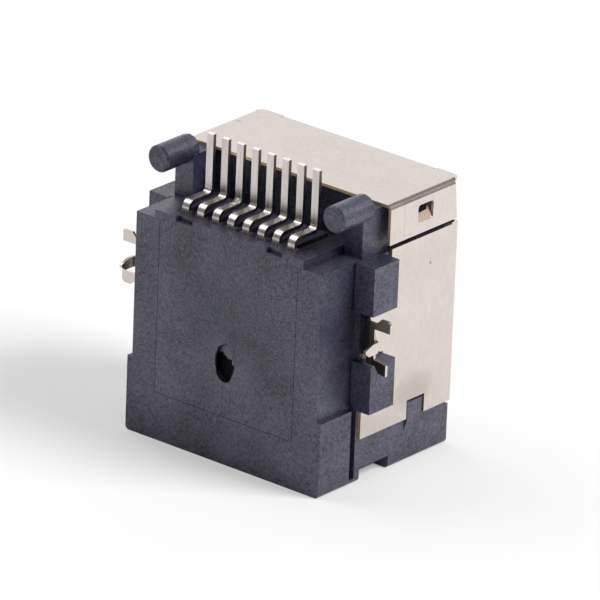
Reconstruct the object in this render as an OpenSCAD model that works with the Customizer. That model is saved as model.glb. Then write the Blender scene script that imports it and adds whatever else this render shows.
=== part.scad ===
// Shielded 8P8C board jack of the sink type. It stands on its plug mouth, with
// the circuit-board side facing -Y and the contact tails pointing up.
// Millimetres. In each module y = 0 is the face of the block that sinks through
// the board, and seat() moves the whole jack so that its box is centred on Y.

/* [Housing body] */
// Width of the body and of the lower part of the front block
body_w = 16.42; // [15:0.02:20]
// Depth from the front block's face to the body's back
body_d = 13.06; // [12.6:0.02:16]
// Height of the body, from the mouth to the shoulder that carries the insert
body_h = 15.45; // [15:0.05:20]
// Width of the narrower upper part of the front block
waist_w = 15.6; // [14.6:0.05:16]
// Height at which the front block narrows
waist_z = 5.23; // [4:0.01:6]
// Thickness of the front block
block_t = 3.08; // [2.9:0.01:3.2]
// Width of the upright groove behind the front block's lower part
groove_w = 0.48; // [0.3:0.01:0.6]
// Depth of that groove into the side
groove_d = 0.85; // [0.4:0.05:1.2]
// Height of the web that closes the groove at the mouth
groove_foot = 0.35; // [0.2:0.05:0.8]
// Radius of the body's lower corners, seen from the front
corner_r = 0.3; // [0.1:0.05:0.6]

/* [Plug mouth] */
// Width of the plug opening
plug_w = 11.84; // [11.8:0.01:12]
// Height of the plug opening, across the jack
plug_h = 6.75; // [6.7:0.01:6.9]
// Thickness of the wall on the board side of the plug opening
mouth_wall = 2.55; // [2.4:0.05:2.7]
// Depth of the plug opening
plug_depth = 13.4; // [13:0.05:14]
// Width of the channel for the plug's latch
latch_w = 6.3; // [6.2:0.05:6.6]
// Height of the channel at the mouth, above the plug opening
latch_h = 1.05; // [0.9:0.05:1.3]
// Width of the gap between the two lugs that hold the latch
lock_w = 4; // [3.4:0.05:4.4]
// Height of that gap, above the channel
lock_h = 1.4; // [1.2:0.05:1.5]
// Thickness of the lugs, along the plug
lock_t = 1.5; // [1.2:0.05:2]
// Lead-in chamfer round the plug opening
lead_in = 0.35; // [0.1:0.05:0.6]
// Start of the notch in the mouth's side edge, from the front face
rim_notch_y = 4.1; // [3.7:0.05:5]
// Length of that notch
rim_notch_l = 2.95; // [2:0.05:4]
// Height of that notch
rim_notch_h = 0.9; // [0.5:0.05:1.2]
// Depth of that notch into the wall
rim_notch_d = 1.2; // [0.6:0.05:1.6]
// Chamfer of the body's edges that lie inside the shield's folds
back_chamfer = 0.3; // [0.25:0.01:0.5]

/* [Ears, pillars and posts] */
// How far the ears stand out from the body's side
ear_out = 1.31; // [1:0.01:1.8]
// Distance of the ears' board faces from the front face
ear_y = 3.25; // [3.1:0.01:3.5]
// Depth of the ears
ear_d = 2.45; // [2:0.05:3]
// Height of each ear
ear_h = 3.35; // [2.8:0.05:3.5]
// Bottom of the lower ears
ear_low_z = 5.3; // [5.25:0.01:5.6]
// Top of the rear block and pillars, under the shield's rear cover
rear_top = 18.62; // [17.9:0.02:20]
// Width of the rear block and of the pillars across their outer sides
rear_w = 15.82; // [15.4:0.02:16.2]
// Width of each pillar
pillar_w = 1.51; // [1.3:0.01:1.55]
// Distance of the pillars' faces from the front face
pillar_y = 3.87; // [3.6:0.01:4.2]
// Radius of the two locating posts
post_r = 0.92; // [0.7:0.01:1]
// Distance between the posts' axes
post_pitch = 14.74; // [14:0.02:15]
// Height of the posts' axes
post_z = 18.75; // [18.2:0.01:19]
// Length of the posts in front of the pillars
post_l = 2.4; // [1.8:0.05:3.4]
// Length of the posts' roots, which lie on the pillars
post_root = 0.7; // [0.5:0.02:1.4]
// Radius of the posts' roots
post_root_r = 0.9; // [0.7:0.01:0.9]
// Chamfer at the posts' tips
post_tip = 0.12; // [0.05:0.01:0.3]

/* [Contact insert] */
// Width of the insert's front panel
panel_w = 11.6; // [11.4:0.05:11.8]
// Thickness of the insert's front panel
panel_t = 2.3; // [2:0.05:2.4]
// Bottom of the panel
panel_z = 3.3; // [2.8:0.05:3.4]
// Width of the insert's head, which lies on the housing
head_w = 12.5; // [12.2:0.05:12.7]
// Thickness of the head
head_t = 0.55; // [0.4:0.05:0.8]
// Depth of the head
head_d = 6.45; // [6.3:0.05:6.8]
// Height of the comb's teeth, below the closed end of the plug opening
comb_h = 1.3; // [0.8:0.05:1.5]
// Thickness of the comb, along Y, measured from the front face
comb_d = 6.2; // [6:0.05:6.25]
// Distance of each notch in the head's front edge from the middle
edge_notch_x = 3.78; // [3.5:0.02:4]
// Width of those notches
edge_notch_w = 1.4; // [1:0.05:1.6]
// Height of those notches
edge_notch_h = 0.3; // [0.15:0.05:0.4]
// Depth of those notches along Y
edge_notch_d = 0.35; // [0.2:0.05:0.5]
// Width of the slots in the head's top, under the contacts' crossings
top_slot_w = 0.5; // [0.3:0.02:0.56]
// Floor of those slots, below the head's top
top_slot_h = 0.8; // [0.4:0.05:0.9]
// Front of the trough that joins the slots over the springs' tips
trough_y = 4.9; // [4.6:0.05:5.1]
// Thickness of the lip behind the trough
trough_lip = 0.16; // [0.1:0.02:0.3]
// Width of the trough
trough_w = 9.4; // [9.2:0.05:10.4]
// Clearance between the insert and the housing
insert_gap = 0.03; // [0.02:0.01:0.06]
// Width of the oval gate recess in the panel
gate_w = 1.3; // [1:0.05:1.6]
// Height of the gate recess
gate_h = 2.6; // [2:0.05:3]
// Height of the gate recess's centre
gate_z = 7.05; // [6:0.05:8]
// Depth of the gate recess
gate_d = 0.3; // [0.2:0.05:0.5]

/* [Contacts] */
// Number of contacts
contact_n = 8; // [8]
// Distance between neighbouring tails
tail_pitch = 1.27; // [1.2:0.01:1.3]
// Distance between neighbouring springs
spring_pitch = 1.016; // [1:0.002:1.03]
// Width of the tails
tail_w = 0.56; // [0.45:0.01:0.6]
// Width of the springs
spring_w = 0.46; // [0.4:0.01:0.5]
// Thickness of the contact strip
strip_t = 0.27; // [0.2:0.01:0.3]
// Distance of the tails' middle from the front face
tail_y = 3.27; // [3.2:0.01:3.35]
// Height of the tails' tips
tail_top = 20.9; // [20:0.05:22]
// Distance of the upright runs' middle from the front face
run_y = 1.02; // [0.95:0.01:1.05]
// Height of the strip's middle over the head, where it crosses to the tail
cross_h = 0.75; // [0.7:0.01:1]
// Radius of the bends beside the crossing, at the strip's middle
cross_r = 0.42; // [0.3:0.01:0.5]
// Radius of the bends at the springs' roots, at the strip's middle
root_r = 0.45; // [0.3:0.01:0.5]
// Distance from the upright run to the corner at the spring's root
root_l = 1; // [0.9:0.05:1.1]
// Distance of the springs' tips from the front face
tip_y = 5.3; // [5:0.05:5.4]
// Height of the springs' tips above the closed end of the plug opening
tip_rise = 2; // [1.6:0.05:2.2]
// Length of the sheared nibs beside each contact on the head
nib_l = 0.13; // [0.05:0.01:0.16]
// Height of the nibs
nib_h = 0.14; // [0.08:0.01:0.2]
// Clearance between a contact and its slot
slot_gap = 0.03; // [0.02:0.01:0.05]

/* [Shield] */
// Thickness of the shield's sheet
sheet = 0.2; // [0.15:0.01:0.25]
// Inside radius of the shield's folds
fold_r = 0.2; // [0.1:0.02:0.3]
// Height of the shield's lower edge
skirt_z = 3.1; // [2.6:0.05:3.6]
// Distance of the side plates' lower front edge from the front face
side_y = 3.8; // [3.7:0.01:4]
// Height of the side plates
side_top = 15.62; // [15.5:0.01:15.8]
// Distance of the side plates' upper front edge from the front face
side_upper_y = 6.33; // [6:0.01:6.6]
// Start of the notch in the side plates' lower edge, from the front face
side_notch_y = 8.5; // [8:0.05:9]
// Length of that notch
side_notch_l = 1.8; // [1.2:0.05:2.4]
// Height of that notch
side_notch_h = 1.3; // [0.8:0.05:1.8]
// Play of the housing's boss in that notch, along Y
boss_gap = 0.3; // [0.1:0.05:0.5]
// Clearance between the sheet and the ears
ear_gap = 0.08; // [0.05:0.01:0.12]
// Distance of the rear cover's front edge from the front face
cover_y = 5.76; // [5.5:0.01:5.9]
// Half width of the fold between the rear cover and the back plate
cover_fold_w = 6.35; // [5.5:0.05:6.8]
// Radius of the rear cover's free corners
cover_corner_r = 0.6; // [0.3:0.05:0.8]
// Clearance between the cover's flanges and the side plates
flange_gap = 0.03; // [0.02:0.01:0.06]
// Height of the flanges' lower edge
flange_z = 16.08; // [15.9:0.01:16.4]
// Distance of the flanges' back edge from the front face
flange_back = 12.6; // [12:0.05:12.65]
// Distance of the window in each flange from the front face
window_y = 8.55; // [8.2:0.05:9]
// Length of the window
window_l = 1.55; // [1.2:0.05:2]
// Bottom of the window
window_z = 16.85; // [16.7:0.05:17]
// Height of the window
window_h = 1.22; // [1:0.02:1.3]
// Radius of the window's corners
window_r = 0.22; // [0.1:0.02:0.4]
// Length of the locking tab that is bent in from the window's bottom edge
lock_tab_l = 0.75; // [0.5:0.05:0.9]
// Angle by which the locking tab leans inwards
lock_tab_angle = 32; // [20:1:40]

/* [Board tabs of the shield] */
// Distance of the solder tabs' board faces from the front face
pad_y = 2.84; // [2.7:0.01:3]
// Height of the board legs' middle
leg_z = 10.53; // [10.45:0.01:10.6]
// Half height of the shelf that carries the tabs
shelf_h = 1.46; // [1.4:0.01:1.5]
// Reach of the solder tabs from the jack's middle
pad_reach = 11.3; // [10.9:0.05:12]
// Height of each solder tab
pad_w = 0.8; // [0.6:0.02:0.9]
// Height from the leg's middle to the outer edge of each solder tab
pad_far = 1.84; // [1.7:0.02:1.9]
// Corner cut of a worn solder tab
pad_corner = 0.2; // [0.1:0.02:0.3]
// Corner cut of a sharp solder tab
pad_edge = 0.04; // [0.02:0.01:0.1]
// Start of the tongue's splay, from the front
splay_y = 4.32; // [4.2:0.01:4.4]
// End of the splay, from the middle of the jack
splay_x = 9.47; // [9.35:0.01:9.5]
// Radius of the splay's two folds, at the sheet's middle
splay_r = 0.3; // [0.15:0.05:0.35]
// Lean of the right lower tab towards the board, as if knocked
tab_lean = 14; // [0:1:20]
// Distance of the board legs' outer faces from the jack's middle
leg_x = 10.42; // [10.2:0.02:10.6]
// Width of the board legs
leg_w = 0.74; // [0.5:0.02:0.8]
// Reach of the board legs in front of the solder tabs' faces
leg_l = 1.3; // [0.9:0.05:1.8]
// Length of the leg's point
leg_point = 0.7; // [0.4:0.05:0.8]
// Drop of the leg below the middle of the tabs
leg_drop = 0.12; // [0:0.02:0.15]

/* [Hidden] */
$fn = 48;

arc_n = 6;                                   // chords in a bend of a strip or a corner
eps = 0.01;                                  // overrun of cutting tools
body_x = body_w / 2;
main_y = block_t + groove_w;                 // front of the main body, behind the groove
ear_high_z = body_h - ear_h;
ear_tab = 0.3;                               // root of an ear or boss inside the body
side_x = body_x;                             // inner face of the side plates
shell_x = side_x + sheet;                    // outer face of the side plates
back_y = body_d;                             // inner face of the back plate
depth = back_y + sheet;                      // whole depth of the jack
cover_z = rear_top;                          // underside of the rear cover
flange_x = shell_x + flange_gap;             // inner face of the flanges
flange_end = flange_back - 0.25;             // back end of the flanges' fold
relief = 0.15;                               // width of the notches where two folds meet
lock_tab_gap = 0.08;                         // gap beside a locking tab in its window
nub_z = window_z + lock_tab_l * cos(lock_tab_angle) + sheet * sin(lock_tab_angle) + 0.04;
head_top = body_h + head_t;
plug_back = mouth_wall + plug_h;
tip_z = plug_depth + tip_rise;
tip_room = 1.4;                              // length of the pockets for the tips, along Y
comb_wall = 0.5;                             // wall behind the comb's slots
root_z = panel_z + 0.6;                      // middle of the strip at the spring's root
jog_low = plug_depth + 0.2;                  // the strip turns from spring pitch ...
jog_high = body_h - 0.2;                     // ... to tail pitch between these heights
fork_x = leg_x - sheet - fold_r;             // end of the shelf, where tabs and leg part
flare_x = fork_x + 0.12;                     // start of the slope from shelf to tab
pad_mid = pad_y + sheet / 2;                 // middle of the shelf's sheet
neck_y = splay_y + 0.3;                      // end of the side plate's tongue

function unit(v) = v / norm(v);
function turned(v, a) = [v.x * cos(a) - v.y * sin(a), v.x * sin(a) + v.y * cos(a)];
function arc(c, r, a0, a1) = [for (i = [0 : arc_n]) c + r * [cos(a0 + (a1 - a0) * i / arc_n),
                                                             sin(a0 + (a1 - a0) * i / arc_n)]];

// Points round the bend at b on the way from a to c, with radius r.
function bend(a, b, c, r) =
    let (u = unit(a - b), v = unit(c - b), half = acos(u * v) / 2,
         centre = b + unit(u + v) * r / sin(half), start = b + u * r / tan(half),
         turn = -sign(cross(u, v)) * (180 - 2 * half))
    [for (i = [0 : arc_n]) centre + turned(start - centre, turn * i / arc_n)];

// Direction of a path at its point i, and the line beside it at distance d.
function heading(p, i) = unit(p[min(i + 1, len(p) - 1)] - p[max(i - 1, 0)]);
function beside(p, d) = [for (i = [0 : len(p) - 1]) p[i] + d * turned(heading(p, i), 90)];

// Outline of a strip of thickness t whose middle follows the path p.
function strip(p, t) =
    let (left = beside(p, t / 2), right = beside(p, -t / 2), n = len(p))
    concat(left, [for (i = [n - 1 : -1 : 0]) right[i]]);

// Outline of a rectangle from [x0, y0] to [x1, y1] with rounded corners.
function rounded(x0, y0, x1, y1, r) = concat(
    arc([x1 - r, y1 - r], r, 0, 90), arc([x0 + r, y1 - r], r, 90, 180),
    arc([x0 + r, y0 + r], r, 180, 270), arc([x1 - r, y0 + r], r, 270, 360));

// Centres the jack's box on Y.
module seat() translate([0, -depth / 2, 0]) children();

// A block from one corner to the other.
module block(a, b) translate(a) cube(b - a);

// The same shape on both sides of the jack.
module both_sides() {
    children();
    mirror([1, 0, 0]) children();
}

// An outline drawn in Y and Z, given its width along X from x0.
module across(x0, width) {
    translate([x0, 0, 0]) rotate([90, 0, 90]) linear_extrude(width) children();
}

// An outline drawn in X and Z, given its thickness along Y from y0.
module upright(y0, thickness) {
    translate([0, y0 + thickness, 0]) rotate([90, 0, 0]) linear_extrude(thickness) children();
}

// A front-to-back slab of the body with rounded lower corners.
module slab(half_w, y0, y1, top) {
    upright(y0, y1 - y0) polygon(concat(
        [[half_w, top], [-half_w, top]],
        arc([corner_r - half_w, corner_r], corner_r, 180, 270),
        arc([half_w - corner_r, corner_r], corner_r, 270, 360)));
}

module ear(z) {
    block([body_x - ear_tab, ear_y, z], [body_x + ear_out, ear_y + ear_d, z + ear_h]);
}

// Locating post with a chamfered tip, and its slimmer many-sided root along the pillar's top.
module post() {
    translate([post_pitch / 2, pillar_y, post_z]) rotate([90, 0, 0]) {
        cylinder(r = post_r, h = post_l - post_tip);
        translate([0, 0, post_l - post_tip])
            cylinder(r1 = post_r, r2 = post_r - post_tip, h = post_tip);
    }
    translate([post_pitch / 2, pillar_y + post_root, post_z + post_r - post_root_r]) rotate([90, 0, 0])
        cylinder(r = post_root_r, h = post_root + eps, $fn = 12);
}

// The space for the plug and its latch, open at the mouth.
module plug_space() {
    block([-plug_w / 2, mouth_wall, -eps], [plug_w / 2, plug_back, plug_depth]);
    block([-latch_w / 2, plug_back - eps, -eps], [latch_w / 2, plug_back + latch_h, plug_depth]);
    block([-latch_w / 2, plug_back, lock_t],
          [latch_w / 2, plug_back + latch_h + lock_h, plug_depth]);
    block([-lock_w / 2, plug_back, -eps], [lock_w / 2, plug_back + latch_h + lock_h, lock_t + eps]);
    for (side = [-1, 1]) translate([side * plug_w / 2, 0, 0])
        upright(mouth_wall, plug_h) polygon([[0, lead_in], [side * lead_in, -eps], [0, -eps]]);
}

// The window in the front block and the shoulder opening that take the insert.
module insert_space() {
    half = panel_w / 2 + insert_gap;
    block([-half, -eps, panel_z], [half, mouth_wall + eps, body_h + eps]);
    block([-half, -eps, plug_depth - eps], [half, head_d + insert_gap, body_h + eps]);
}

module groove() {
    block([body_x - groove_d, block_t, groove_foot], [body_x + eps, main_y, waist_z]);
}

module rim_notch() {
    block([body_x - rim_notch_d, rim_notch_y, -eps],
          [body_x + eps, rim_notch_y + rim_notch_l, rim_notch_h]);
}

// Wedge that fills the notch in the side plate and holds the shield down.
module side_boss() {
    y0 = side_notch_y + boss_gap / 4;
    upright(y0, side_notch_l - boss_gap) polygon([
        [body_x - ear_tab, skirt_z - 0.9], [body_x, skirt_z - 0.9], [shell_x, skirt_z - 0.15],
        [shell_x, skirt_z + side_notch_h - boss_gap / 2],
        [body_x - ear_tab, skirt_z + side_notch_h - boss_gap / 2]]);
}

// Nub behind the window, over the locking tab of the rear cover.
module window_nub() {
    block([rear_w / 2 - ear_tab, window_y + 0.1, nub_z],
          [flange_x - 0.1, window_y + window_l - 0.4, window_z + window_h + 0.2]);
}

// Cuts the edges that lie inside the folds at the body's back.
module back_chamfers() {
    c = back_chamfer;
    both_sides() translate([0, 0, skirt_z - 0.3]) linear_extrude(rear_top) polygon([
        [body_x + eps, body_d - c], [body_x + eps, body_d + eps], [body_x - c, body_d + eps]]);
    across(-body_x, body_w) polygon([
        [body_d + eps, rear_top - c], [body_d + eps, rear_top + eps], [body_d - c, rear_top + eps]]);
}

// Moulded housing: front block, mouth, body, ears, rear block, pillars and posts.
module housing() color([0.1, 0.1, 0.12]) seat() {
    difference() {
        union() {
            slab(body_x, 0, block_t, waist_z);
            block([-waist_w / 2, 0, waist_z - eps], [waist_w / 2, main_y + eps, body_h]);
            slab(body_x, block_t - eps, main_y + eps, waist_z);
            slab(body_x, main_y, body_d, body_h);
            block([-rear_w / 2, head_d + insert_gap, body_h - eps], [rear_w / 2, body_d, rear_top]);
            both_sides() {
                ear(ear_low_z);
                ear(ear_high_z);
                block([rear_w / 2 - pillar_w, pillar_y, body_h - eps],
                      [rear_w / 2, head_d + 2 * insert_gap, rear_top]);
            }
        }
        plug_space();
        insert_space();
        back_chamfers();
        both_sides() {
            groove();
            rim_notch();
        }
    }
    both_sides() {
        post();
        side_boss();
        window_nub();
    }
}

// Outline of a contact's upright run: at spring pitch below, at tail pitch above.
module run_outline(i, grow, low, high) {
    x0 = (i - (contact_n + 1) / 2) * spring_pitch;
    x1 = (i - (contact_n + 1) / 2) * tail_pitch;
    a = spring_w / 2 + grow;
    b = tail_w / 2 + grow;
    polygon([[x0 - a, low], [x0 + a, low], [x0 + a, jog_low], [x1 + b, jog_high],
             [x1 + b, high], [x1 - b, high], [x1 - b, jog_high], [x0 - a, jog_low]]);
}

// The slots of the insert for contact i.
module contact_slots(i) {
    x0 = (i - (contact_n + 1) / 2) * spring_pitch;
    half = spring_w / 2 + slot_gap;
    y0 = run_y - strip_t / 2 - slot_gap;
    upright(y0, strip_t + 2 * slot_gap) run_outline(i, slot_gap, root_z, head_top + eps);
    block([x0 - half, y0, root_z - strip_t / 2 - slot_gap],
          [x0 + half, panel_t + eps, plug_depth + eps]);
    block([x0 - half, panel_t, plug_depth - comb_h - eps],
          [x0 + half, comb_d - comb_wall, plug_depth + eps]);
    block([x0 - half, comb_d - comb_wall - tip_room, plug_depth],
          [x0 + half, comb_d - comb_wall, head_top - top_slot_h + eps]);
    x1 = (i - (contact_n + 1) / 2) * tail_pitch;
    block([x1 - top_slot_w / 2, run_y, head_top - top_slot_h],
          [x1 + top_slot_w / 2, trough_y + eps, head_top + eps]);
}

// Insert that carries the contacts: front panel, closed end of the mouth, comb and head.
module contact_insert() color([0.12, 0.12, 0.14]) seat() difference() {
    union() {
        block([-panel_w / 2, 0, panel_z + insert_gap], [panel_w / 2, panel_t, body_h + eps]);
        block([-panel_w / 2, 0, plug_depth], [panel_w / 2, head_d, body_h + eps]);
        block([-panel_w / 2, panel_t - eps, plug_depth - comb_h],
              [panel_w / 2, comb_d, plug_depth + eps]);
        block([-head_w / 2, 0, body_h], [head_w / 2, head_d, head_top]);
    }
    for (i = [1 : contact_n]) contact_slots(i);
    block([-trough_w / 2, trough_y, head_top - top_slot_h],
          [trough_w / 2, head_d - trough_lip, head_top + eps]);
    both_sides() block([edge_notch_x - edge_notch_w / 2, -eps, head_top - edge_notch_h],
                       [edge_notch_x + edge_notch_w / 2, edge_notch_d, head_top + eps]);
    upright(-eps, gate_d + eps) {
        translate([0, gate_z - (gate_h - gate_w) / 2]) circle(d = gate_w);
        translate([0, gate_z + (gate_h - gate_w) / 2]) circle(d = gate_w);
        translate([-gate_w / 2, gate_z - (gate_h - gate_w) / 2]) square([gate_w, gate_h - gate_w]);
    }
}

// One contact: straight tail, S-bend over the head, upright run, root bend and spring.
module contact(i) color([0.78, 0.76, 0.72]) seat() {
    x0 = (i - (contact_n + 1) / 2) * spring_pitch;
    x1 = (i - (contact_n + 1) / 2) * tail_pitch;
    top = [tail_y, tail_top];
    high = [tail_y, head_top + cross_h];
    low = [run_y, head_top + cross_h];
    foot = [run_y, head_top];
    tail = concat([top], bend(top, high, low, cross_r), bend(high, low, foot, cross_r), [foot]);
    start = [run_y, root_z + 1];
    heel = [run_y, root_z];
    toe = [run_y + root_l, root_z];
    tip = [tip_y, tip_z];
    spring = concat([start], bend(start, heel, toe, root_r), bend(heel, toe, tip, root_r), [tip]);
    across(x1 - tail_w / 2, tail_w) polygon(strip(tail, strip_t));
    upright(run_y - strip_t / 2, strip_t) run_outline(i, 0, root_z + 1, head_top);
    across(x0 - spring_w / 2, spring_w) polygon(strip(spring, strip_t));
    block([x1 - tail_w / 2 - nib_l, run_y - strip_t / 2, head_top],
          [x1 + tail_w / 2 + nib_l, run_y + strip_t / 2, head_top + nib_h]);
}

// Outline of a side plate in Y and Z: skirt with a notch, cut-outs round the ears,
// and the tongue between the ears that runs forward to the shelf.
module side_outline() {
    back = back_y - fold_r;
    gap_y = ear_y + ear_d + ear_gap;
    polygon([[side_y, skirt_z], [side_notch_y, skirt_z], [side_notch_y, skirt_z + side_notch_h],
             [side_notch_y + side_notch_l, skirt_z + side_notch_h],
             [side_notch_y + side_notch_l, skirt_z], [back, skirt_z], [back, side_top],
             [side_upper_y, side_top], [side_upper_y, body_h - 0.4], [gap_y, body_h - 0.4],
             [gap_y, ear_high_z - ear_gap], [side_y + 0.17, ear_high_z - ear_gap],
             [side_y + 0.17, leg_z + shelf_h], [neck_y, leg_z + shelf_h],
             [neck_y, leg_z - shelf_h], [side_y, leg_z - shelf_h],
             [side_y, ear_low_z + ear_h + ear_gap], [gap_y, ear_low_z + ear_h + ear_gap],
             [gap_y, ear_low_z - ear_gap], [side_y, ear_low_z - ear_gap]]);
}

// A quarter fold of the sheet: inner radius fold_r, length l along Z, from +X to +Y.
module fold(l) {
    rotate_extrude(angle = 90) translate([fold_r, 0]) square([sheet, l]);
}

// A strip of the sheet that follows a path in X and Y, between two heights.
module folded(path, low, high) {
    translate([0, 0, low]) linear_extrude(high - low) polygon(strip(path, sheet));
}

// Upper half of the fork: tongue splayed out of the side plate, flat shelf and solder tab,
// which leans towards the board by the given angle. Its outer corner is cut by the given length.
module half_fork(lean, corner) {
    side = [side_x + sheet / 2, neck_y];
    splay_from = [side.x, splay_y];
    splay_to = [splay_x, pad_mid];
    shelf_end = [fork_x, pad_mid];
    tip = shelf_end + (pad_reach - fork_x) * [1, -tan(lean)];
    path = concat([side + [0, eps]], bend(side, splay_from, splay_to, splay_r),
                  bend(splay_from, splay_to, shelf_end, splay_r), [shelf_end, tip]);
    intersection() {
        folded(path, -eps, pad_far);
        upright(pad_y - pad_w, neck_y) polygon([
            [side_x - eps, -eps], [fork_x, -eps], [fork_x, pad_far - pad_w],
            [pad_reach - eps, pad_far - pad_w], [pad_reach - eps, pad_far - corner],
            [pad_reach - corner, pad_far], [flare_x + pad_far - shelf_h, pad_far],
            [flare_x, shelf_h], [side_x - eps, shelf_h]]);
    }
}

// The leg through the board, folded forward from the shelf's end, with its pointed end.
module board_leg() {
    leg = leg_x - sheet / 2;
    half = leg_w / 2;
    end_y = pad_y - leg_l;
    root = [leg, end_y + leg_point];
    folded(concat([[fork_x - eps, pad_mid]],
                  bend([fork_x, pad_mid], [leg, pad_mid], root, fold_r + sheet / 2), [root]),
           -half, half);
    across(leg_x - sheet, sheet) polygon([
        [root.y + eps, -half], [root.y + eps, half], [root.y, half], [end_y, half / 4],
        [end_y, -half / 4], [end_y + leg_point / 2, -half], [root.y, -half]]);
}

// The fork that meets the board, with the lean of its lower tab and the cuts of its corners.
module board_fork(low_lean, high_corner, low_corner) {
    translate([0, 0, leg_z]) {
        half_fork(0, high_corner);
        mirror([0, 0, 1]) half_fork(low_lean, low_corner);
        translate([0, 0, -leg_drop]) board_leg();
    }
}

// Locking tab, bent in from the lower edge of the window.
module lock_tab() {
    lean = lock_tab_l * [-sin(lock_tab_angle), cos(lock_tab_angle)];
    across_sheet = sheet * [cos(lock_tab_angle), sin(lock_tab_angle)];
    inner = [flange_x, window_z];
    outer = [flange_x + sheet, window_z];
    upright(window_y + lock_tab_gap, window_l - 2 * lock_tab_gap) polygon([
        inner - [0, sheet], outer - [0, sheet], outer, inner + lean + across_sheet, inner + lean, inner]);
}

// Flange on the cover's side, with its fold and its window.
module flange() {
    difference() {
        across(flange_x, sheet) polygon([
            [cover_y, flange_z], [flange_back, flange_z],
            [flange_end, cover_z - fold_r], [cover_y, cover_z - fold_r]]);
        across(flange_x - eps, sheet + 2 * eps) polygon(
            rounded(window_y, window_z, window_y + window_l, window_z + window_h, window_r));
    }
    translate([flange_x - fold_r, cover_y, cover_z - fold_r]) rotate([-90, 0, 0])
        mirror([0, 1, 0]) fold(flange_end - cover_y);
    lock_tab();
}

// Half of the cover's plate, with its relief notches beside the folds and its free corner.
module cover_half() {
    half = flange_x - fold_r;
    reach = back_y - fold_r;
    polygon(concat(
        [[-eps, cover_y], [half, cover_y], [half, flange_end + relief],
         [half + sheet, flange_end + relief]],
        arc([half + sheet - cover_corner_r, back_y - cover_corner_r], cover_corner_r, 30, 90),
        [[cover_fold_w + relief, back_y], [cover_fold_w + relief, reach - relief],
         [cover_fold_w, reach - relief], [cover_fold_w, reach], [-eps, reach]]));
}

// Rear cover's plate and its fold down to the back plate.
module rear_cover() {
    reach = back_y - fold_r;
    translate([0, 0, cover_z]) linear_extrude(sheet) both_sides() cover_half();
    translate([-cover_fold_w, reach, cover_z - fold_r]) rotate([0, 90, 0])
        mirror([1, 0, 0]) fold(2 * cover_fold_w);
}

// Shield folded from one sheet: back plate, side plates, rear cover, flanges and forks.
module shield() color([0.8, 0.77, 0.74]) seat() {
    block([fold_r - side_x, back_y, skirt_z], [side_x - fold_r, depth, side_top]);
    block([-cover_fold_w, back_y, side_top - eps], [cover_fold_w, depth, cover_z - fold_r]);
    rear_cover();
    both_sides() {
        across(side_x, sheet) side_outline();
        translate([side_x - fold_r, back_y - fold_r, skirt_z]) fold(side_top - skirt_z);
        flange();
    }
    board_fork(tab_lean, pad_corner, pad_edge);
    mirror([1, 0, 0]) board_fork(0, pad_edge, pad_corner);
}

housing();
contact_insert();
contact(1);  // contact_1
contact(2);  // contact_2
contact(3);  // contact_3
contact(4);  // contact_4
contact(5);  // contact_5
contact(6);  // contact_6
contact(7);  // contact_7
contact(8);  // contact_8
shield();
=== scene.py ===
from math import radians

import bmesh
import bpy
from mathutils import Euler, Matrix, Vector


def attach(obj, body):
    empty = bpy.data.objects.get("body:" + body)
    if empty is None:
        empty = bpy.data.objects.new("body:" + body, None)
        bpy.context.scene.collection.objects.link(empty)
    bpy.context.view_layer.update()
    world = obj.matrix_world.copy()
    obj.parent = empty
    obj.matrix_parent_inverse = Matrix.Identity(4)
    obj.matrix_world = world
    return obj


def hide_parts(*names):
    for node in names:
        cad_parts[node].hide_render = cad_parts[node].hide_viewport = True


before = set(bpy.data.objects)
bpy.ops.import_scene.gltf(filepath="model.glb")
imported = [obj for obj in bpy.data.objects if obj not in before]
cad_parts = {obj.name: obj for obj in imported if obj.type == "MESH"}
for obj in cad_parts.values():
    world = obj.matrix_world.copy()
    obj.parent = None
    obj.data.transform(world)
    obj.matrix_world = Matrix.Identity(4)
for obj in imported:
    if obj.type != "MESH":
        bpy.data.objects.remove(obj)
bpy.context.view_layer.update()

MM = 0.001

# Camera. A long lens far off, right of the board side and a little above it, as for
# a catalogue picture; the slight roll is the camera's own.
camera_place = Vector((349.323, -429.153, 239.132)) * MM
camera_azimuth = 39.089
camera_elevation = 22.532
camera_roll = 2.252
camera_data = bpy.data.cameras.new("camera")
camera_data.sensor_width = 36
camera_data.lens = 553.366
camera_data.clip_start = 0.05
camera_data.clip_end = 20
camera = bpy.data.objects.new("camera", camera_data)
aim = Euler((radians(90 - camera_elevation), 0, radians(camera_azimuth))).to_matrix()
turned = aim @ Matrix.Rotation(radians(camera_roll), 3, "Z")
camera.matrix_world = Matrix.Translation(camera_place) @ turned.to_4x4()
bpy.context.scene.collection.objects.link(camera)
bpy.context.scene.camera = camera
bpy.context.scene.view_settings.view_transform = "Standard"


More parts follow.
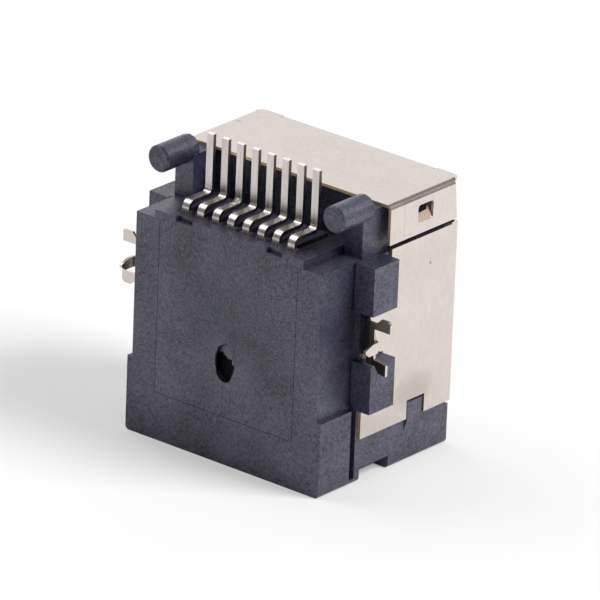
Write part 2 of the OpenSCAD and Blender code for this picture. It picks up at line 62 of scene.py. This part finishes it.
class Wire:
    """One output in the tree being made. Arithmetic on it adds Math nodes, and made() adds any other node."""

    tree = None

    def __init__(self, socket):
        self.socket = socket

    @classmethod
    def begin(cls, owner):
        """Empties the owner's node tree, makes it the one that new nodes go to and returns the owner."""
        owner.use_nodes = True
        cls.tree = owner.node_tree
        cls.tree.nodes.clear()
        return owner

    @classmethod
    def made(cls, kind, settings=None, output=0, **values):
        """Adds a node: its settings first, then each named socket's value or link."""
        node = cls.tree.nodes.new("ShaderNode" + kind)
        for name, setting in (settings or {}).items():
            setattr(node, name, setting)
        for name, value in values.items():
            wanted = name.replace("_", " ")
            cls.fill(next(s for s in node.inputs if s.name == wanted and s.enabled), value)
        return cls(node.outputs[output]) if len(node.outputs) else None

    @classmethod
    def fill(cls, target, value):
        """Links a Wire to an input, or sets the input's own value."""
        if isinstance(value, Wire):
            cls.tree.links.new(value.socket, target)
        else:
            target.default_value = value

    @classmethod
    def millimetres(cls, place):
        """A place's three coordinates, each in millimetres."""
        axes = cls.tree.nodes.new("ShaderNodeSeparateXYZ")
        cls.fill(axes.inputs[0], place)
        return [cls(axis) * 1000 for axis in axes.outputs]

    @classmethod
    def noise(cls, place, scale, detail=2, roughness=0.5):
        """Cloudy noise about a mean of one half, with scale cells to one unit of the place."""
        return cls.made("TexNoise", Vector=place, Scale=scale, Detail=detail, Roughness=roughness)

    @classmethod
    def stretched(cls, place, height_scale):
        """The place with its height scaled, so that noise there is drawn out upwards."""
        return cls.made("Mapping", Vector=place, Scale=(1, 1, height_scale))

    @classmethod
    def face_mark(cls, name):
        """The number that mark_faces stored under this name."""
        return cls.made("Attribute", {"attribute_name": name}, output=2)

    @classmethod
    def blend(cls, factor, start, end):
        """Colour that goes from start to end as the factor goes from 0 to 1."""
        return cls.made("Mix", {"data_type": "RGBA"}, output=2, Factor=factor, A=start, B=end)

    def maths(self, operation, *others, flip=False):
        """Adds a Math node on this output and the others, in the opposite order with flip."""
        node = Wire.tree.nodes.new("ShaderNodeMath")
        node.operation = operation
        terms = [self, *others]
        if flip:
            terms.reverse()
        for target, term in zip(node.inputs, terms):
            Wire.fill(target, term)
        return Wire(node.outputs[0])

    def held(self):
        """This output, held between 0 and 1."""
        return self.maths("MAXIMUM", 0).maths("MINIMUM", 1)

    def __add__(self, other): return self.maths("ADD", other)
    def __sub__(self, other): return self.maths("SUBTRACT", other)
    def __rsub__(self, other): return self.maths("SUBTRACT", other, flip=True)
    def __mul__(self, other): return self.maths("MULTIPLY", other)
    def __truediv__(self, other): return self.maths("DIVIDE", other)
    def __pow__(self, other): return self.maths("POWER", other)
    def __abs__(self): return self.maths("ABSOLUTE")
    def __gt__(self, other): return self.maths("GREATER_THAN", other)
    def __lt__(self, other): return self.maths("LESS_THAN", other)


# Studio. A pale floor that shows nearly white and keeps a soft shadow, a white room
# round it, and soft lamps over, behind and to the right of the jack.
floor_level = 0.85
floor_half = 1.5
floor_glow = 0.32
room_light = 0.23
floor_mesh = bpy.data.meshes.new("floor")
floor_corners = [(x * floor_half, y * floor_half, 0) for x, y in ((-1, -1), (1, -1), (1, 1), (-1, 1))]
floor_mesh.from_pydata(floor_corners, [], [(0, 1, 2, 3)])
floor = bpy.data.objects.new("floor", floor_mesh)
bpy.context.scene.collection.objects.link(floor)
floor_mesh.materials.append(Wire.begin(bpy.data.materials.new("pale_floor")))
camera_ray = Wire.made("LightPath", output=0)
matt = Wire.made("BsdfDiffuse", Color=(floor_level, floor_level, floor_level, 1))
glow = Wire.made("Emission", Color=(1, 1, 1, 1), Strength=1.0)
both = Wire.made("MixShader", Fac=camera_ray * floor_glow)
Wire.fill(both.socket.node.inputs[1], matt)
Wire.fill(both.socket.node.inputs[2], glow)
Wire.made("OutputMaterial", Surface=both)

room = Wire.begin(bpy.data.worlds.new("room"))
bpy.context.scene.world = room
camera_ray = Wire.made("LightPath", output=0)
room_strength = camera_ray * (1 - room_light) + room_light
Wire.made("OutputWorld", Surface=Wire.made("Background", Color=(1, 1, 1, 1), Strength=room_strength))


def soft_lamp(name, place, power, width, height):
    """Rectangular lamp at place, aimed at the middle of the jack and not seen by the camera."""
    data = bpy.data.lights.new(name, "AREA")
    data.shape = "RECTANGLE"
    data.size = width
    data.size_y = height
    data.energy = power
    lamp = bpy.data.objects.new(name, data)
    lamp.location = place
    lamp.rotation_euler = (Vector((0, 0, 10 * MM)) - Vector(place)).to_track_quat("-Z", "Y").to_euler()
    lamp.visible_camera = False
    bpy.context.scene.collection.objects.link(lamp)


soft_lamp("lamp_right", (0.55, 0.22, 0.60), 6.5, 0.36, 0.36)
soft_lamp("lamp_over", (-0.46, -0.06, 0.56), 2.5, 0.60, 0.60)
soft_lamp("backdrop", (-0.50, 0.62, 0.20), 2.6, 1.60, 0.62)


def rounded_copy(node, radius, steps, blocks=()):
    """Copy of a node's mesh with its triangles merged and its sharp edges rounded by the radius.

    Corners of more than 28 degrees count as sharp; the rounding has the given number of steps.
    Blocks are boxes from a low to a high corner that join the piece. Each corner of a face
    takes the mean of the normals there that lie within 50 degrees of it, weighted by area."""
    same_place, same_plane, sharp_turn, close_normal = 2e-6, radians(0.6), radians(28), 0.64
    work = bmesh.new()
    work.from_mesh(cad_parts[node].data)
    bmesh.ops.remove_doubles(work, verts=work.verts, dist=same_place)
    bmesh.ops.dissolve_limit(work, angle_limit=same_plane, verts=work.verts, edges=work.edges)
    for low, high in blocks:
        middle = (Vector(low) + Vector(high)) / 2 * MM
        size = (Vector(high) - Vector(low)) * MM
        bmesh.ops.create_cube(work, size=1, matrix=Matrix.LocRotScale(middle, None, size))
    sharp = [edge for edge in work.edges if edge.is_manifold and edge.calc_face_angle(0) > sharp_turn]
    bmesh.ops.bevel(work, geom=sharp, offset=radius, segments=steps, profile=0.5,
                    affect="EDGES", clamp_overlap=True, loop_slide=True)
    work.normal_update()
    corners = []
    for face in work.faces:
        for vert in face.verts:
            near = [f for f in vert.link_faces if f.normal.dot(face.normal) > close_normal]
            corners.append(sum((f.normal * f.calc_area() for f in near), Vector()).normalized())
    mesh = bpy.data.meshes.new(node + "_piece")
    work.to_mesh(mesh)
    work.free()
    mesh.shade_smooth()
    mesh.normals_split_custom_set(corners)
    piece = bpy.data.objects.new(node + "_piece", mesh)
    bpy.context.scene.collection.objects.link(piece)
    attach(piece, "root")
    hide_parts(node)
    return piece


def mark_faces(piece, name, value_of):
    """Stores value_of(face) on each face, under a name that the piece's material reads."""
    values = [float(value_of(face)) for face in piece.data.polygons]
    piece.data.attributes.new(name, "FLOAT", "FACE").data.foreach_set("value", values)


# The two black mouldings share their colours and the lines that the melt left when it
# flowed out from the middle of the board side.
plastic_dark = (0.001, 0.001, 0.005, 1)
plastic_light = (0.060, 0.058, 0.108, 1)
fan_height = 9.5


def flow_lines(place, across, inward, height):
    """Streaks that fan out from the middle of the board side.

    The turn is the angle round that middle, stirred a little by noise, and the radius is the
    distance from it: the streaks are narrow in turn and long in radius."""
    stir = (Wire.noise(place, 420) - 0.5) * 0.25
    turn = across.maths("ARCTAN2", height - fan_height) + stir
    radius = (across ** 2 + (height - fan_height) ** 2) ** 0.5
    fan = Wire.made("CombineXYZ", X=turn * 42, Y=radius * 2.4, Z=inward * 3)
    return Wire.noise(fan, 1.3, 4, 0.6)


def close_plastic(colour, mottle, dark, relief, dullness):
    """Ends a black plastic's tree: light mottle is smoother and coated, and the dark mask, painted shade and dark
    marks, takes the sheen.
    """
    surface = Wire.made("BsdfPrincipled", Base_Color=colour, Roughness=dullness - mottle * 0.16,
                        Metallic=dark, Normal=relief, IOR=1.62, Specular_Tint=(0.88, 0.87, 1, 1),
                        Coat_Weight=mottle * (1 - dark) * 0.7, Coat_Roughness=0.40, Coat_IOR=1.6)
    Wire.made("OutputMaterial", Surface=surface)


# Housing. One moulding in black glass-filled polyester, with a fine spark-eroded
# grain and edges that the mould leaves slightly round. Its catches look through the
# cover's windows, above the locking tabs, and are painted black as shade.
catch_out = 0.20
catches = [((side, 1.98, 17.54), (side + catch_out, 2.86, 18.06)) for side in (-8.54, 8.34)]
housing = rounded_copy("housing", 0.09 * MM, 2, catches)
housing.data.materials.append(Wire.begin(bpy.data.materials.new("grained_black_plastic")))
place = Wire.made("TexCoord", output=3)
across, inward, height = Wire.millimetres(place)
flow = flow_lines(place, across, inward, height)
grain = Wire.noise(place, 7500, 4, 0.7)
cloud = Wire.noise(place, 1500, 5, 0.7)
broad = Wire.noise(place, 240, 3, 0.6)
# Painted shade: the catches' faces are made black and lose their sheen.
catch_shade = (abs(across) > 8.31) * (height > 17.5)
mottle = ((flow - 0.5) * 1.4 + (grain - 0.5) * 2.0 + (broad - 0.5) * 1.0 + 0.47).held() * (1 - catch_shade)
colour = Wire.blend(mottle, plastic_dark, plastic_light)
relief = Wire.made("Bump", Strength=0.8, Distance=0.07 * MM, Height=grain * 0.7 + cloud)
close_plastic(colour, mottle, catch_shade, relief, 0.46)

# Contact insert. A separate black moulding, smoother than the housing. Its front panel
# has the torn gate hole, with painted shade in its lower part and a ragged rim, and a short mould
# line under the hole.
insert = rounded_copy("contact_insert", 0.05 * MM, 2)
insert.data.materials.append(Wire.begin(bpy.data.materials.new("smooth_black_plastic")))
place = Wire.made("TexCoord", output=3)
across, inward, height = Wire.millimetres(place)
flow = flow_lines(place, across, inward, height)
grain = Wire.noise(place, 7000, 4, 0.7)
cloud = Wire.noise(Wire.stretched(place, 0.6), 1300, 5, 0.7)
broad = Wire.noise(place, 240, 3, 0.6)
ragged = (Wire.noise(place, 2300, 4, 0.7) - 0.5) * 0.9
gate_x, gate_z, gate_half_width, gate_half_height = 0.02, 7.08, 0.86, 1.42
on_panel = inward < -6.2
oval = (((across - gate_x) / gate_half_width) ** 2 + ((height - gate_z) / gate_half_height) ** 2) ** 0.5
reach = oval + ragged * 0.5
torn = ((1 - reach) * 9).held() * on_panel
# Painted shade in the lower part of the gate hole.
hollow_shade = ((7.55 - height - across * 0.3 + ragged * 1.2) * 7).held() * torn
rim = torn * (reach > 0.86) * 0.7
mould_line = (abs(across + 0.08) < 0.025) * (height > 3.35) * (height < 5.5) * on_panel * 0.35
dark = hollow_shade.maths("MAXIMUM", rim).maths("MAXIMUM", mould_line)
mottle = ((flow - 0.5) * 1.7 + (grain - 0.5) * 1.6 + (broad - 0.5) * 1.2 + 0.45 + torn * 0.5).held()
colour = Wire.blend(mottle, plastic_dark, plastic_light)
colour = Wire.blend(dark, colour, (0.004, 0.004, 0.005, 1))
relief = Wire.made("Bump", Strength=0.7, Distance=0.06 * MM,
                   Height=grain * 0.5 + cloud * 0.6 + flow * 0.8 + torn * ragged * 2)
close_plastic(colour, mottle, dark, relief, 0.44)

# Contacts. Strip of phosphor bronze, plated and drawn in fine streaks, with sides painted
# darker as shade, copper-coloured nibs where it was sheared, tips painted brighter as a
# highlight, and a blob of plating on the bend of the third.
tail_pitch = 1.27
tail_top = 20.86
plated = Wire.begin(bpy.data.materials.new("plated_strip"))
place = Wire.made("TexCoord", output=3)
streak = Wire.noise(Wire.stretched(place, 0.06), 7000, 4, 0.7)
pits = Wire.noise(place, 9000, 3, 0.7)
from_blob = Wire.made("Mapping", Vector=place, Location=(1.90 * MM, 3.73 * MM, -17.0 * MM))
blob = (1 - Wire.made("VectorMath", {"operation": "LENGTH"}, output=1, Vector=from_blob) * 3300).maths("MAXIMUM", 0)
bare = Wire.face_mark("bare")
tip_highlight = Wire.millimetres(place)[2] > tail_top
colour = Wire.blend((streak - 0.5) * 2 + 0.5, (0.44, 0.405, 0.385, 1), (0.78, 0.72, 0.685, 1))
# The tails' sides are painted darker as shade.
colour = Wire.blend(Wire.face_mark("sheared") * 0.75, colour, (0.14, 0.13, 0.13, 1))
colour = Wire.blend(bare, colour, (0.95, 0.46, 0.24, 1))
# The tail tips are painted brighter as a highlight.
colour = Wire.blend(tip_highlight, colour, (0.98, 0.95, 0.92, 1))
relief = Wire.made("Bump", Strength=0.9, Distance=0.12 * MM, Height=blob * (pits * 2 + 1) + streak * 0.004)
surface = Wire.made("BsdfPrincipled", Base_Color=colour, Metallic=1.0,
                    Roughness=streak * 0.12 + 0.22 + bare * 0.2, Normal=relief)
Wire.made("OutputMaterial", Surface=surface)
for number in range(1, 9):
    contact = rounded_copy(f"contact_{number}", 0.04 * MM, 2)
    contact.data.materials.append(plated)
    tail_x = (number - 4.5) * tail_pitch * MM
    mark_faces(contact, "bare", lambda face: abs(face.center.x - tail_x) > 0.25 * MM
               and 15.8 * MM < face.center.z < 16.35 * MM)
    # Marks the tails' sides, which the material paints darker as shade.
    mark_faces(contact, "sheared", lambda face: abs(face.normal.x) > 0.8 and face.center.z > 16.3 * MM)


# Shield. One folded sheet of plated brass, satin, with rolling grain and smudges. Its
# sheared front edges show the brass, its locking tabs carry a painted brass glint, and the
# board-side faces of its solder tabs carry painted shade.
def brass_and_tab_glint(face):
    """How far the yellow metal colour is laid on: fully on cut edges that face the board side, where the base metal
    shows, and 0.6 on a locking tab, where it is a painted glint.
    """
    edge = face.normal.y < -0.9 and face.center.y > -3.2 * MM
    leaning = abs(face.normal.z) > 0.3 and abs(face.normal.x) > 0.3
    in_window = 7.6 * MM < abs(face.center.x) < 8.8 * MM and 16.8 * MM < face.center.z < 17.8 * MM
    # On a locking tab the colour is a painted glint, not bare metal.
    return 1.0 * edge + 0.6 * (leaning and in_window)


def solder_tab_shade(face):
    """How much painted shade darkens a solder tab's board-side face: fully on the right, faintly on the left, and
    nowhere else.
    """
    faces_board = face.normal.y < -0.8
    return faces_board * (1.0 * (face.center.x > 9.0 * MM) + 0.14 * (face.center.x < -9.0 * MM))


shield = rounded_copy("shield", 0.03 * MM, 2)
mark_faces(shield, "bare", brass_and_tab_glint)
# Marks the solder tabs' board-side faces for painted shade.
mark_faces(shield, "painted_tab_shade", solder_tab_shade)
shield.data.materials.append(Wire.begin(bpy.data.materials.new("satin_plate")))
place = Wire.made("TexCoord", output=3)
across, depth, height = Wire.millimetres(place)
roll = Wire.noise(Wire.stretched(place, 0.4), 4600, 5, 0.7)
smudge = Wire.noise(place, 330, 4, 0.6)
on_right = across > 8.3
frame_edge = (abs(depth - 2.75) - 2.2).maths("MAXIMUM", abs(height - 17.5) - 1.15)
# Painted shade along the edge of an embossed frame by the window.
emboss_edge_shade = (abs(frame_edge) < 0.05) * (depth < 1.3) * on_right * 0.15
speck = ((depth - 3.70) ** 2 + (height - 13.54) ** 2 < 0.012) * on_right * 0.55
scratch = (((depth - 3.57) / 0.07) ** 2 + ((across + 7.93) / 0.30) ** 2 < 1) * 0.30
# A darker patch low on the right side plate, broken up by the smudge noise.
darkening_reach = ((depth - 2.4) / 2.4) ** 2 + ((height - 5.0) / 1.5) ** 2
lower_right_darkening = ((1 - darkening_reach) * on_right).maths("MAXIMUM", 0) * smudge * 0.5
# Marks that darken the plate: painted shade on the emboss edge and the solder tabs, a speck, a scratch and the
# darker patch.
marks_and_shade = emboss_edge_shade + speck + scratch + lower_right_darkening + Wire.face_mark("painted_tab_shade") * 0.95
bare = Wire.face_mark("bare")
colour = Wire.blend((roll - 0.5) * 1.2 + (smudge - 0.5) * 0.8 + 0.5,
                    (0.60, 0.54, 0.505, 1), (0.78, 0.70, 0.655, 1))
colour = Wire.blend(marks_and_shade, colour, (0.05, 0.04, 0.035, 1))
# bare: brass on the sheared front edges, and a painted glint on the locking tabs.
colour = Wire.blend(bare * 0.8, colour, (0.90, 0.66, 0.36, 1))
relief = Wire.made("Bump", Strength=0.3, Distance=0.01 * MM, Height=roll)
surface = Wire.made("BsdfPrincipled", Base_Color=colour, Metallic=1.0,
                    Roughness=smudge * 0.08 + 0.20 + bare * 0.2, Normal=relief)
Wire.made("OutputMaterial", Surface=surface)
